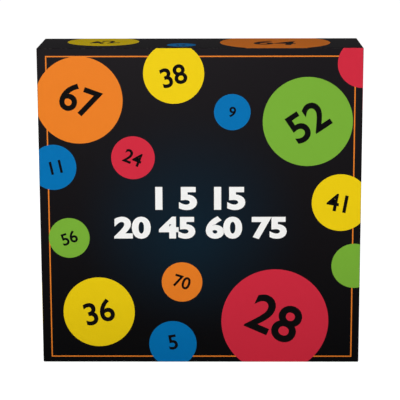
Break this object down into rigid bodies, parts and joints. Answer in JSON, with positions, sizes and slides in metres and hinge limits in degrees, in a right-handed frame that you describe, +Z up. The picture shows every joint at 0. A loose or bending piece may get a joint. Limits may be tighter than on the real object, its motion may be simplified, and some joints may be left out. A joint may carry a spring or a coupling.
{
  "type": "bingo game",
  "caption": "Closed black telescoping game box with printed numbered discs, holding a hand-cranked ball tumbler, ball board, cards and marker chips.",
  "frame": {"origin": "on the floor under the middle of the standing box", "axes": "+X to the right of the printed face, +Y from the printed face to the back, +Z up"},
  "size_m": [0.267, 0.07, 0.267],
  "materials": {
    "greyboard": "uncoated grey board",
    "divider_board": "uncoated board",
    "corner_tape": "brown gummed paper",
    "plain_wrap": "black paper, satin",
    "printed_wrap": "printed paper, satin varnish",
    "leaflet_paper": "uncoated paper",
    "card_board": "printed board",
    "ball_board": "moulded, matt",
    "tray_plastic": "moulded, matt",
    "chip_red": "gloss",
    "chip_blue": "gloss",
    "chip_green": "gloss",
    "chip_yellow": "gloss",
    "frame_plastic": "moulded, satin",
    "bush_plastic": "acetal, matt",
    "ball_blue": "gloss",
    "ball_red": "gloss",
    "ball_yellow": "gloss",
    "ball_green": "gloss",
    "ball_orange": "gloss",
    "drum_clear": "clear polystyrene",
    "screw_steel": "zinc plated",
    "axle_steel": "drawn rod",
    "crank_plastic": "moulded, gloss",
    "knob_plastic": "moulded, gloss"
  },
  "bodies": {
    "base": {"base_board": "greyboard", "base_corner_tapes": "corner_tape", "base_wrap": "plain_wrap", "cross_divider": "divider_board", "upright_divider": "divider_board"},
    "lid": {"lid_board": "greyboard", "lid_corner_tapes": "corner_tape", "lid_wrap": "printed_wrap"},
    "leaflet": {"rules_leaflet": "leaflet_paper"},
    "cards": {"bingo_cards": "card_board"},
    "ball_board": {"call_board": "ball_board"},
    "chips": {"chip_tray": "tray_plastic", "chips_red": "chip_red", "chips_blue": "chip_blue", "chips_green": "chip_green", "chips_yellow": "chip_yellow"},
    "tumbler": {"tumbler_foot": "frame_plastic", "back_upright": "frame_plastic", "front_upright": "frame_plastic", "axle_bushes": "bush_plastic", "balls_1_15": "ball_blue", "balls_16_30": "ball_red", "balls_31_45": "ball_yellow", "balls_46_60": "ball_green", "balls_61_75": "ball_orange"},
    "drum": {"drum_back": "drum_clear", "drum_front": "drum_clear", "drum_screws": "screw_steel", "drum_axle": "axle_steel", "crank_arm": "crank_plastic", "crank_screw": "screw_steel", "knob_pin": "axle_steel"},
    "knob": {"crank_knob": "knob_plastic"},
    "gate": {"ball_gate": "knob_plastic"}
  },
  "joints": [
    {"name": "lid_slide", "type": "slide", "parent": "base", "child": "lid", "axis": [0, -1, 0], "range_m": [0, 0.09]},
    {"name": "leaflet_lift", "type": "slide", "parent": "base", "child": "leaflet", "axis": [0, -1, 0], "range_m": [0, 0.0765]},
    {"name": "tumbler_lift", "type": "slide", "parent": "base", "child": "tumbler", "axis": [0, -1, 0], "range_m": [0, 0.0675]},
    {"name": "cards_lift", "type": "slide", "parent": "base", "child": "cards", "axis": [0, -1, 0], "range_m": [0, 0.0675]},
    {"name": "ball_board_lift", "type": "slide", "parent": "base", "child": "ball_board", "axis": [0, -1, 0], "range_m": [0, 0.0675]},
    {"name": "chip_tray_lift", "type": "slide", "parent": "base", "child": "chips", "axis": [0, -1, 0], "range_m": [0, 0.063]},
    {"name": "drum_spin", "type": "hinge", "parent": "tumbler", "child": "drum", "pos_m": [-0.0565, 0, 0.1787], "axis": [0, -1, 0], "continuous": true},
    {"name": "knob_spin", "type": "hinge", "parent": "drum", "child": "knob", "pos_m": [-0.0375, 0, 0.14579], "axis": [0, -1, 0], "continuous": true},
    {"name": "gate_slide", "type": "slide", "parent": "drum", "child": "gate", "axis": [0, -1, 0], "range_m": [0, 0.0153]}
  ],
  "couplings": [
    {"joint": "leaflet_lift", "follows": "lid_slide", "ratio": 0.85},
    {"joint": "tumbler_lift", "follows": "lid_slide", "ratio": 0.75},
    {"joint": "cards_lift", "follows": "lid_slide", "ratio": 0.75},
    {"joint": "ball_board_lift", "follows": "lid_slide", "ratio": 0.75},
    {"joint": "chip_tray_lift", "follows": "lid_slide", "ratio": 0.7}
  ]
}
